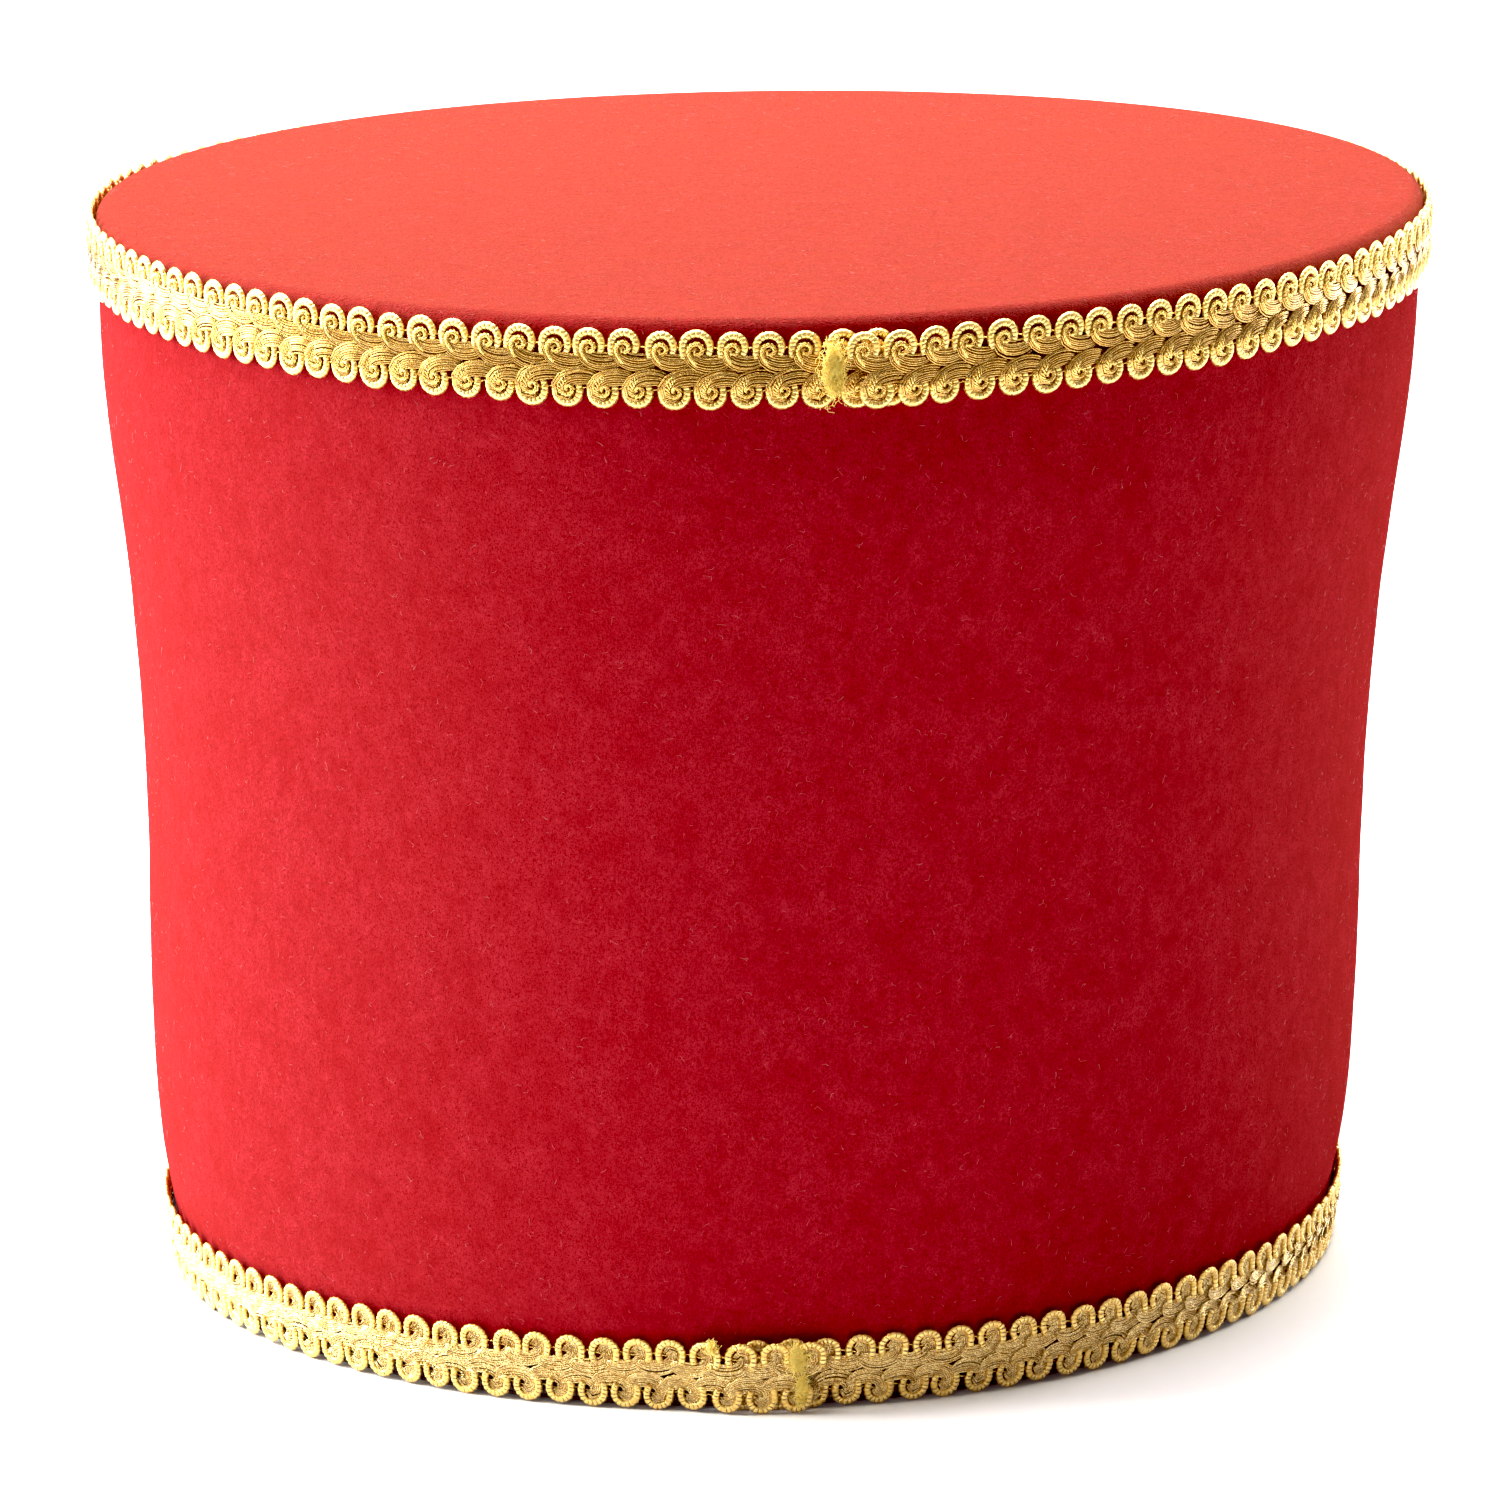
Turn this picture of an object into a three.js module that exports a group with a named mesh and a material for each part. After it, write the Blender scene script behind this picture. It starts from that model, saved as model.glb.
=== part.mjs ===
// A round felt shako with no peak: a flared red crown with a flat top, a black tape round its hem,
// and a strip of gold scroll gimp along the rim and along the hem. Millimetres, +Z up, standing on
// its hem, with -Y towards the side where the ends of both strips meet.
import * as THREE from 'three';

// Crown
const HEIGHT = 174.5;
const FELT = 2.5;
const GAP = 0.3; // kept between neighbouring pieces
const RIM_ROUND = 2.2; // radius of the fold where the top turns down over the rim
const DOME = 1.5; // rise of the top above the rim, at its middle
const SEAM_BELOW_RIM = 9; // the top's skirt ends here, behind the upper gimp
const LEAN = 0.027; // sideways shift of the crown for each millimetre of height
const RIM_TILT = { x: -0.006, y: 0.0034 }; // slope of the rim along each axis
const RIM_BEND = 4.5e-5; // bend of the rim, up at both sides and down at front and back
const HEM_DEPTH_RATIO = 0.97; // front to back over side to side, at the hem
const RIM_DEPTH_RATIO = 1.03; // and at the rim

// Outer wall from the hem to the rim, one row for each section
const WALL_SECTIONS = [
  { share: 0.0, halfWidth: 94.5 },
  { share: 0.05, halfWidth: 95.9 },
  { share: 0.12, halfWidth: 98.0 },
  { share: 0.25, halfWidth: 99.3 },
  { share: 0.42, halfWidth: 99.6 },
  { share: 0.55, halfWidth: 100.5 },
  { share: 0.68, halfWidth: 102.4 },
  { share: 0.84, halfWidth: 105.6 },
  { share: 1.0, halfWidth: 106.5 },
];

// Hem tape, folded round the lower edge of the felt
const TAPE = 1;
const TAPE_OUTSIDE = 8; // height of its outer leg
const TAPE_INSIDE = 12; // height of its inner leg
const TAPE_FOLD = 0.8; // taken off its lower corners, where it is folded

// Scroll gimp
const GIMP_WIDTH = 12;
const GIMP_PITCH = 5.3; // from one scroll to the next
const LAP_RAMP = 2; // repeats over which the upper end climbs onto the lower one

// One repeat of the strip, a row for each column: the share of the half width that each edge
// reaches, and the thickness there. The scrolls of the two edges are half a pitch apart.
const GIMP_REPEAT = [
  { upper: 0.56, lower: 1.0, thick: 1.5 },
  { upper: 0.86, lower: 0.86, thick: 1.7 },
  { upper: 1.0, lower: 0.56, thick: 1.5 },
  { upper: 0.86, lower: 0.86, thick: 1.7 },
];

// Each strip starts at one angle in degrees from +X, turns once round and laps over its start.
// Sway lifts its middle line at the two sides, and tip tilts it from side to side.
const UPPER_GIMP = {
  start: -79.7,
  turn: -364.1,
  middle: HEIGHT - 7.4,
  sway: 0.6,
  tip: -0.35,
  standOff: GAP,
};
const LOWER_GIMP = {
  start: -91.6,
  turn: 368,
  middle: 6.1,
  sway: 0,
  tip: 0,
  standOff: GAP + TAPE + GAP,
};

// Facets round the felt and the tape, and across the fold of the rim
const FACETS = 48;
const FOLD_STEPS = 3;

const FELT_RED = { color: 0xb5121f, roughness: 0.95, metalness: 0 };
const TAPE_BLACK = { color: 0x1b1a1e, roughness: 0.85, metalness: 0 };
const GIMP_GOLD = { color: 0xc99a2e, roughness: 0.35, metalness: 0.9 };

const { clamp, degToRad, lerp, smoothstep } = THREE.MathUtils;

const wallCurve = new THREE.CubicInterpolant(
  WALL_SECTIONS.map((section) => section.share * HEIGHT),
  WALL_SECTIONS.map((section) => section.halfWidth),
  1,
);

// Half width of the outer wall at a height.
const wallHalfWidth = (z) => wallCurve.evaluate(clamp(z, 0, HEIGHT))[0];

// A point of a profile, so far out from the wall's outer face.
const offWall = (z, out) => new THREE.Vector2(wallHalfWidth(z) + out, z);

// Turns a round, upright form into the crown's own: a little oval, leaning, tilted and bent at the rim.
function easeToCrown(geometry) {
  const at = geometry.getAttribute('position');
  for (let i = 0; i < at.count; i++) {
    const share = at.getZ(i) / HEIGHT;
    const x = at.getX(i) + LEAN * (at.getZ(i) - HEIGHT);
    const y = at.getY(i) * lerp(HEM_DEPTH_RATIO, RIM_DEPTH_RATIO, share);
    const rise = RIM_TILT.x * x + RIM_TILT.y * y + RIM_BEND * (x ** 2 - y ** 2);
    at.setXYZ(i, x, y, at.getZ(i) + share * rise);
  }
  geometry.computeVertexNormals();
  return geometry;
}

// Felt and tape: a profile turned about the upright axis.
const turned = (profile) => easeToCrown(new THREE.LatheGeometry(profile, FACETS).rotateX(Math.PI / 2));

function crownSide() {
  const foot = TAPE + GAP;
  const head = HEIGHT - SEAM_BELOW_RIM - GAP;
  const between = WALL_SECTIONS.slice(1, -1).map((section) => section.share * HEIGHT);
  const heights = [foot, ...between, head];
  const outside = heights.map((z) => offWall(z, 0));
  const inside = heights.map((z) => offWall(z, -FELT)).reverse();
  return turned([...outside, ...inside, outside[0]]);
}

function crownTop() {
  const skirt = HEIGHT - SEAM_BELOW_RIM;
  const foldHeight = HEIGHT - RIM_ROUND;
  const flat = wallHalfWidth(HEIGHT) - RIM_ROUND;
  const fold = new THREE.Path().absarc(flat, foldHeight, RIM_ROUND, 0, Math.PI / 2).getPoints(FOLD_STEPS);
  // A low dome, highest in the middle and level with the rim where the fold begins.
  const dome = (share, below) => new THREE.Vector2(flat * share, HEIGHT - below + DOME * (1 - share ** 2));
  const inside = [dome(0, FELT), offWall(HEIGHT - FELT, -FELT), offWall(skirt, -FELT)];
  const upperSide = [dome(0.5, 0), dome(0, 0)];
  return turned([...inside, offWall(skirt, 0), ...fold, ...upperSide]);
}

function hemTape() {
  const outer = GAP + TAPE;
  const inner = -FELT - GAP - TAPE;
  const profile = [
    offWall(0, outer - TAPE_FOLD),
    offWall(TAPE_FOLD, outer),
    offWall(TAPE_OUTSIDE, outer),
    offWall(TAPE_OUTSIDE, GAP),
    offWall(TAPE, GAP),
    offWall(TAPE, -FELT - GAP),
    offWall(TAPE_INSIDE, -FELT - GAP),
    offWall(TAPE_INSIDE, inner),
    offWall(TAPE_FOLD, inner),
    offWall(0, inner + TAPE_FOLD),
  ];
  return turned([...profile, profile[0]]);
}

// Gimp: a long thin box wrapped once round the wall. Its edges are pulled in between the scrolls,
// and its last repeats climb over its start.
function gimpStrip({ start, turn, middle, sway, tip, standOff }) {
  const way = Math.sign(turn);
  const arc = degToRad(Math.abs(turn));
  const repeats = Math.round((arc * (wallHalfWidth(middle) + standOff)) / GIMP_PITCH);
  const columns = repeats * GIMP_REPEAT.length;
  const lapFrom = (2 * Math.PI) / arc;
  const climbFrom = lapFrom - LAP_RAMP / repeats;
  const lapLift = Math.max(...GIMP_REPEAT.map((column) => column.thick)) + GAP;
  const geometry = new THREE.BoxGeometry(1, 1, 1, columns, 1, 1);
  const at = geometry.getAttribute('position');
  for (let i = 0; i < at.count; i++) {
    const share = 0.5 + way * at.getX(i);
    const column = GIMP_REPEAT[Math.round(share * columns) % GIMP_REPEAT.length];
    const angle = degToRad(start) + way * arc * share;
    const reach = at.getY(i) > 0 ? column.upper : -column.lower;
    const z = middle + sway * Math.cos(2 * angle) + tip * Math.cos(angle) + (reach * GIMP_WIDTH) / 2;
    const lift = lapLift * smoothstep(share, climbFrom, lapFrom);
    const radius = wallHalfWidth(z) + standOff + lift + (at.getZ(i) + 0.5) * column.thick;
    at.setXYZ(i, radius * Math.cos(angle), radius * Math.sin(angle), z);
  }
  return easeToCrown(geometry);
}

function piece(name, geometry, finish) {
  const mesh = new THREE.Mesh(geometry, new THREE.MeshStandardMaterial(finish));
  mesh.name = name;
  return mesh;
}

const shako = new THREE.Group();
shako.add(
  piece('crown_side', crownSide(), FELT_RED),
  piece('crown_top', crownTop(), FELT_RED),
  piece('hem_tape', hemTape(), TAPE_BLACK),
  piece('upper_gimp', gimpStrip(UPPER_GIMP), GIMP_GOLD),
  piece('lower_gimp', gimpStrip(LOWER_GIMP), GIMP_GOLD),
);

export default shako;
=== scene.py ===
"""Looks of a round felt shako: red needled felt, black tape round the hem, gold scroll gimp.

Laid out as an add-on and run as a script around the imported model. Lengths are metres, +Z is up, the
hat stands on z = 0 and -Y is the front, where the ends of both gimp strips are lapped.
"""
from collections import namedtuple

import bpy
import numpy as np
from mathutils import Matrix, Vector


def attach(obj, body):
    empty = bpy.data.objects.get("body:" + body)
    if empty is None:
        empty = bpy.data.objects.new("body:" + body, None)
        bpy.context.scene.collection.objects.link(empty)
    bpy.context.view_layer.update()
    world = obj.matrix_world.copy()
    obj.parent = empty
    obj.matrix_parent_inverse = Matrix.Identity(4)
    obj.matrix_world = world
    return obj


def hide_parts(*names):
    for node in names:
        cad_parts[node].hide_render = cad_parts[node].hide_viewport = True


bl_info = {
    "name": "Felt Shako",
    "version": (1, 0, 0),
    "blender": (4, 5, 0),
    "location": "3D View > Sidebar > Shako",
    "description": "Dresses the packed shako in needled felt, hem tape and scroll gimp",
    "category": "Object",
}

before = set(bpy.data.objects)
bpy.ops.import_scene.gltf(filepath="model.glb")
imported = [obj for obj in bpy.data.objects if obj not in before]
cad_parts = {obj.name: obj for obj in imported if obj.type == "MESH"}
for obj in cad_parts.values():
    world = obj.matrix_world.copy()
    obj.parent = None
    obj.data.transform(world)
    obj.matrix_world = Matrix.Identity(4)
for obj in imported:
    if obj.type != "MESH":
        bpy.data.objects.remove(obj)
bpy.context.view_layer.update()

MM = 0.001
BODY = "root"
SEED = 7

# Outer wall from the hem to the rim: share of the height, half width in millimetres.
WALL_SECTIONS = np.array([
    (0.00, 94.5),
    (0.05, 95.9),
    (0.12, 98.0),
    (0.25, 99.3),
    (0.42, 99.6),
    (0.55, 100.5),
    (0.68, 102.4),
    (0.84, 105.6),
    (1.00, 106.5),
])

# One repeat of the gimp's upper edge, for scrolls that sweep right, in millimetres from the
# scroll's place on the strip's middle line. Each row: along, across, off the hat, then a size.
# The arch is a thick cord from foot to foot, and its size is the cord's radius.
ARCH_PATH = np.array([
    (1.42, 2.00, 0.45, 0.54),
    (1.74, 2.85, 0.60, 0.62),
    (1.79, 3.70, 0.66, 0.66),
    (1.43, 4.66, 0.66, 0.66),
    (0.57, 5.27, 0.66, 0.66),
    (-0.53, 5.29, 0.66, 0.66),
    (-1.45, 4.72, 0.66, 0.66),
    (-1.85, 3.80, 0.66, 0.66),
    (-1.89, 2.80, 0.64, 0.64),
    (-1.80, 1.90, 0.60, 0.58),
])
# The curl is a twisted end that winds round the eye and drops across the strip; its size is how far
# its strands lie from its middle.
CURL_PATH = np.array([
    (0.05, 3.30, 0.98, 0.10),
    (-0.35, 3.00, 1.03, 0.16),
    (-0.10, 2.55, 1.08, 0.20),
    (0.58, 2.65, 1.10, 0.23),
    (0.84, 3.35, 1.10, 0.24),
    (0.25, 3.98, 1.10, 0.24),
    (-0.66, 3.80, 1.13, 0.24),
    (-1.05, 3.00, 1.20, 0.24),
    (-0.82, 2.15, 1.26, 0.24),
    (-0.32, 1.35, 1.18, 0.22),
    (0.25, 0.60, 0.83, 0.16),
])
# The leaf is a flat bundle that starts round the eye, follows the scroll's foot and tucks in under
# the next scroll; its size is its half width.
LEAF_PATH = np.array([
    (0.62, 3.25, 0.60, 0.28),
    (0.15, 3.95, 0.72, 0.45),
    (-0.66, 3.75, 0.84, 0.62),
    (-0.98, 2.85, 0.95, 0.88),
    (-0.48, 1.85, 1.02, 1.15),
    (0.55, 1.25, 1.02, 1.36),
    (1.85, 0.98, 0.92, 1.42),
    (3.15, 1.05, 0.76, 1.36),
    (4.25, 1.40, 0.55, 1.08),
    (5.00, 1.80, 0.35, 0.65),
])

# A gimp strip: where it begins, in degrees from +X, how far it goes round to the right, the height
# of its middle line, how much that rises at both sides and tips from side to side, and how far off
# the felt it lies, in millimetres. Its scrolls sweep right or left, it shows its face or its back,
# and the end that lies on top is its first or its last.
Strip = namedtuple("Strip", "node begin arc middle sway tip stand_off sweep face_out first_on_top")
STRIPS = {
    "UPPER": Strip("upper_gimp", -83.8, 364.1, 167.6, 0.6, -0.35, 0.2, 1, True, True),
    "LOWER": Strip("lower_gimp", -91.6, 368.0, 6.1, 0.0, 0.0, 0.8, -1, False, False),
}
ON_FELT = 0.2  # how far off the felt a strip lies above the tape, in millimetres
DROP_FROM, DROP_TO = -1 * MM, 2 * MM  # where it drops onto the felt, above the tape's upper edge
GIMP_DEPTH = 1.7 * MM
LAP_LIFT = 2.0 * MM
LAP_RAMP = 2  # repeats over which the upper end climbs onto the lower one
ROW_SHIFT = 0.38  # of a pitch, from the scrolls of one edge to those of the other


def linear(hex_colour):
    """Linear RGB of an sRGB hex colour."""
    srgb = np.array([int(hex_colour[i:i + 2], 16) for i in (1, 3, 5)]) / 255
    return np.where(srgb <= 0.04045, srgb / 12.92, ((srgb + 0.055) / 1.055) ** 2.4).tolist()


def length(name, description, default):
    """A length property; its default is given in metres."""
    return bpy.props.FloatProperty(name=name, description=description, default=default, unit="LENGTH")


def colour(name, description, hex_colour):
    """A colour property; its default is given as sRGB hex."""
    return bpy.props.FloatVectorProperty(
        name=name, description=description, default=linear(hex_colour), subtype="COLOR", min=0, max=1
    )


class ShakoSizes(bpy.types.PropertyGroup):
    """Sizes of the crown, the hem tape and the gimp."""

    height: length("Height", "From the hem to the rim", 174.5 * MM)
    felt: length("Felt", "Thickness of the felt", 2.5 * MM)
    rim_round: length("Rim fold", "Radius where the top turns down over the rim", 2.2 * MM)
    dome: length("Dome", "Rise of the top above the rim, at its middle", 1.5 * MM)
    skirt: length("Skirt", "How far the top reaches down behind the upper gimp", 9 * MM)
    tape: length("Tape", "Thickness of the hem tape", 0.6 * MM)
    tape_outside: length("Tape outside", "Height of the tape's outer leg", 8 * MM)
    tape_inside: length("Tape inside", "Height of the tape's inner leg", 12 * MM)
    pitch: length("Gimp pitch", "From one scroll of the gimp to the next", 5.3 * MM)
    hair: length("Felt hair", "Longest of the loose fibres on the felt", 1.5 * MM)


class ShakoColours(bpy.types.PropertyGroup):
    """Colours of the felt, the tape and the gimp."""

    felt: colour("Felt", "Body of the felt", "#8A1B1F")
    felt_pale: colour("Felt fibre", "Fibres that lie on the felt", "#AE323C")
    hair: colour("Felt hair", "Loose fibres and lint", "#AC6059")
    tape: colour("Tape", "Hem tape", "#18181C")
    foil: colour("Foil", "Metallised thread of the gimp", "#FFD97C")
    # Painted shade: a darker copy of the foil, for the leaves on the face.
    leaf: colour("Leaf foil", "Flat filaments on the face of the gimp", "#C29C50")
    # Painted highlight: a paler copy of the same foil, for whiter glints on the leaves of the back.
    back: colour("Back foil", "Flat filaments on the back of the gimp", "#EDD28F")
    worn: colour("Worn foil", "Metallised thread where its gold is rubbed", "#DEB455")
    core: colour("Core", "Yarn under the metallised thread", "#FFCE20")


# Shapes


def cubic(x, rows, values):
    """Smooth curve through values at rows, read at x.

    Between two rows it is the cubic that takes each row's slope, and that slope is the mean of the
    slopes to the row before and after.
    """
    secant = np.diff(values, axis=0) / np.diff(rows).reshape(-1, *[1] * (values.ndim - 1))
    slope = np.concatenate((secant[:1], (secant[1:] + secant[:-1]) / 2, secant[-1:]))
    x = np.clip(x, rows[0], rows[-1])
    i = np.clip(np.searchsorted(rows, x, side="right") - 1, 0, len(rows) - 2)
    shape = x.shape + (1,) * (values.ndim - 1)
    span = (rows[i + 1] - rows[i]).reshape(shape)
    u = ((x - rows[i]).reshape(shape)) / span
    rise = values[i + 1] - values[i]
    bend = (1 - u) * (slope[i] * span - rise) - u * (slope[i + 1] * span - rise)
    return values[i] + rise * u + u * (1 - u) * bend


def smoothstep(x, low, high):
    """0 below low, 1 above high, and 3t^2 - 2t^3 between."""
    t = np.clip((x - low) / (high - low), 0, 1)
    return t * t * (3 - 2 * t)


def evenly_along(table, count):
    """So many points at even distances on the smooth curve through a table's first three columns.

    The other columns are carried along. Returns the rows in metres and each one's distance.
    """
    steps_per_row = 40
    rows = np.arange(len(table))
    fine = cubic(np.linspace(0, rows[-1], steps_per_row * len(table)), rows, table * MM)
    steps = np.linalg.norm(np.diff(fine[:, :3], axis=0), axis=1)
    run = np.concatenate(([0], np.cumsum(steps)))
    even = np.linspace(0, run[-1], count)
    return np.stack([np.interp(even, run, column) for column in fine.T], axis=1), even


def ring_faces(index, closed_round=True):
    """Quads between neighbouring rings of a (..., rings, sides) array of vertex numbers."""
    after = np.roll(index, -1, axis=-1)
    corners = (index[..., :-1, :], after[..., :-1, :], after[..., 1:, :], index[..., 1:, :])
    quads = np.stack(corners, axis=-1)
    return (quads if closed_round else quads[..., :-1, :]).reshape(-1, 4)


def square_to(paths):
    """The two directions square to paths at each point: flat beside the path, and above it."""
    tiny = 1e-12  # keeps a path that stands upright from dividing by nothing
    along = np.gradient(paths, axis=-2)
    along /= np.linalg.norm(along, axis=-1, keepdims=True)
    beside = np.cross((0.0, 0.0, 1.0), along)
    beside /= np.linalg.norm(beside, axis=-1, keepdims=True) + tiny
    return beside, np.cross(along, beside)


def tubes(paths, radii, sides):
    """Closed tubes along many paths at once.

    paths is (tubes, points, 3) and radii fits (tubes, points). At each point a ring of corners
    stands square to the path, spanned by the direction that lies flat beside the path and the one
    above it. Returns the points as (tubes, points, sides, 3), and the faces.
    """
    beside, above = square_to(paths)
    turn = 2 * np.pi * np.arange(sides)[:, None] / sides
    ring = np.cos(turn) * beside[..., None, :] + np.sin(turn) * above[..., None, :]
    points = paths[..., None, :] + np.asarray(radii)[..., None, None] * ring
    index = np.arange(points[..., 0].size).reshape(points.shape[:-1])
    return points, [ring_faces(index), index[:, 0, ::-1], index[:, -1]]


class Crown:
    """The crown's form, the same as the solids'."""

    LEAN = 0.027  # sideways shift for each unit of height
    RIM_TILT = (-0.006, 0.0034)  # slope of the rim along x and y
    RIM_BEND = 0.045  # bend of the rim for each metre, up at both sides and down at front and back
    DEPTH_RATIO = (0.97, 1.03)  # front to back over side to side, at the hem and at the rim
    DENT = 0.12 * MM  # how far the felt wall wanders from its smooth form
    DENT_WAVES = ((3, 19), (5, 43), (7, 11), (9, 67), (13, 31))  # waves round, waves per metre up

    def __init__(self, sizes):
        self.sizes = sizes
        self.height = sizes.height
        self.flat = self.half_width(np.array(sizes.height)) - sizes.rim_round

    def half_width(self, z):
        """Half width of the wall's outer face at heights z."""
        rows, widths = WALL_SECTIONS.T
        return cubic(np.asarray(z, dtype=float), rows * self.height, widths * MM)

    def eased(self, radius, angle, z):
        """Points of a round, upright form at radius, angle and height, brought to the crown's own.

        x moves by the lean times the height below the rim, y is scaled by the depth ratio, and z
        rises by the rim's tilt and bend times the share of the height.
        """
        at_hem, at_rim = self.DEPTH_RATIO
        share = z / self.height
        x = radius * np.cos(angle) + self.LEAN * (z - self.height)
        y = radius * np.sin(angle) * (at_hem + (at_rim - at_hem) * share)
        rise = self.RIM_TILT[0] * x + self.RIM_TILT[1] * y + self.RIM_BEND * (x ** 2 - y ** 2)
        return np.stack((x, y, z + share * rise), axis=-1)

    def dents(self, angle, z):
        """Slow waves of the felt wall: a sum of cosines round and up, still at the hem and the rim."""
        phases = np.random.default_rng(SEED).uniform(0, 2 * np.pi, len(self.DENT_WAVES))
        waves = sum(
            np.cos(around * angle + 2 * np.pi * upward * z + phase)
            for (around, upward), phase in zip(self.DENT_WAVES, phases)
        )
        return self.DENT * waves / len(self.DENT_WAVES) * np.sin(np.pi * np.clip(z / self.height, 0, 1))

    def on_wall(self, local):
        """Wall points from distance round at the mean width, height and distance off the felt."""
        around, z, out = np.moveaxis(local, -1, 0)
        angle = around / (WALL_SECTIONS[:, 1].mean() * MM)
        return self.eased(self.half_width(z) + self.dents(angle, z) + out, angle, z)

    def on_top(self, local):
        """Top points from x and y laid flat and distance off the felt: the dome, then the rim's fold."""
        x, y, out = np.moveaxis(local, -1, 0)
        reach = np.hypot(x, y)
        bend = np.clip((reach - self.flat) / self.sizes.rim_round, 0, None)
        fold = self.sizes.rim_round + out
        radius = np.minimum(reach, self.flat) + fold * np.sin(bend)
        rise = self.sizes.dome * (1 - np.clip(reach / self.flat, 0, 1) ** 2)
        z = self.height - self.sizes.rim_round + fold * np.cos(bend) + rise
        return self.eased(radius, np.arctan2(y, x), z)

    def on_strip(self, strip, local):
        """Strip points from distances along it, across it and off the hat.

        It is wrapped round the wall, its middle line sways and tips with the angle, and the end that
        lies on top is lifted over the other. Above the tape it drops onto the felt.
        """
        along, across, out = np.moveaxis(local, -1, 0)
        repeats = self.repeats(strip)
        share = along / (repeats * self.sizes.pitch)
        angle = np.radians(strip.begin + strip.arc * share)
        middle = strip.middle + strip.sway * np.cos(2 * angle) + strip.tip * np.cos(angle)
        run = 1 - share if strip.first_on_top else share
        lap = 360 / strip.arc
        lift = LAP_LIFT * smoothstep(run, lap - LAP_RAMP / repeats, lap)
        z = middle * MM + across
        tape = self.sizes.tape_outside
        drop = (strip.stand_off - ON_FELT) * smoothstep(z, tape + DROP_FROM, tape + DROP_TO)
        return self.eased(self.half_width(z) + (strip.stand_off - drop) * MM + lift + out, angle, z)

    def repeats(self, strip):
        """How many scrolls of about the pitch go into a strip."""
        radius = self.half_width(np.array(strip.middle * MM)) + strip.stand_off * MM
        return round(float(np.radians(strip.arc) * radius / self.sizes.pitch))


def turned(crown, radius, z, around, dented=False):
    """A closed profile of radii and heights carried round the crown's axis. Returns points and faces."""
    angle = np.linspace(0, 2 * np.pi, around, endpoint=False)[:, None]
    wander = crown.dents(angle, z) if dented else 0
    points = crown.eased(radius + wander + 0 * angle, angle, z + 0 * angle)
    index = np.arange(points[..., 0].size).reshape(points.shape[:-1])
    return points, [ring_faces(np.concatenate((index, index[:1])))[:, ::-1]]


def capped(crown, radius, z, around):
    """A profile that starts and ends on the axis, carried round it, with one point at each pole."""
    angle = np.linspace(0, 2 * np.pi, around, endpoint=False)
    rings = crown.eased(radius[1:-1, None] + 0 * angle, angle, z[1:-1, None] + 0 * angle)
    poles = crown.eased(np.zeros(2), np.zeros(2), z[[0, -1]])
    index = np.arange(rings[..., 0].size).reshape(rings.shape[:-1])
    first, last = index.size, index.size + 1
    bottom = np.stack((np.roll(index[0], -1), index[0], np.full(around, first)), axis=-1)
    top = np.stack((index[-1], np.roll(index[-1], -1), np.full(around, last)), axis=-1)
    return np.concatenate((rings.reshape(-1, 3), poles)), [ring_faces(index), bottom, top]


# Objects and materials


def add_piece(name, points, faces, material, uv=None, replaced=None):
    """Makes a piece of the hat from an array of points, lists of equal-sided faces and a finish."""
    mesh = bpy.data.meshes.new(name)
    points = points.reshape(-1, 3)
    corners = np.concatenate([part.ravel() for part in faces])
    sides = np.concatenate([np.full(len(part), part.shape[1]) for part in faces])
    mesh.vertices.add(len(points))
    mesh.vertices.foreach_set("co", points.ravel().astype(np.float32))
    mesh.loops.add(len(corners))
    mesh.loops.foreach_set("vertex_index", corners.astype(np.int32))
    mesh.polygons.add(len(sides))
    mesh.polygons.foreach_set("loop_start", (np.cumsum(sides) - sides).astype(np.int32))
    mesh.polygons.foreach_set("use_smooth", np.ones(len(sides), dtype=bool))
    if uv is not None:
        layer = mesh.uv_layers.new(name="UVMap")
        layer.data.foreach_set("uv", uv.reshape(-1, 2)[corners].ravel().astype(np.float32))
    mesh.update(calc_edges=True)
    if mesh.validate():
        raise RuntimeError(f"the mesh of {name} had faults")
    mesh.materials.append(material)
    piece = bpy.data.objects.new(name, mesh)
    bpy.context.collection.objects.link(piece)
    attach(piece, BODY)
    if replaced:
        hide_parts(replaced)


def add(tree, kind, inputs=None, **settings):
    """Adds a node to a tree with its settings; each input takes a value or another node's output."""
    node = tree.nodes.new("ShaderNode" + kind)
    for name, value in settings.items():
        setattr(node, name, value)
    for socket, value in (inputs or {}).items():
        if isinstance(value, bpy.types.NodeSocket):
            tree.links.new(value, node.inputs[socket])
        else:
            node.inputs[socket].default_value = value
    return node


def blank_material(name):
    """An empty material. Returns it and its node tree, which still needs a shader and an output."""
    material = bpy.data.materials.new(name)
    material.use_nodes = True
    material.node_tree.nodes.clear()
    return material, material.node_tree


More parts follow.
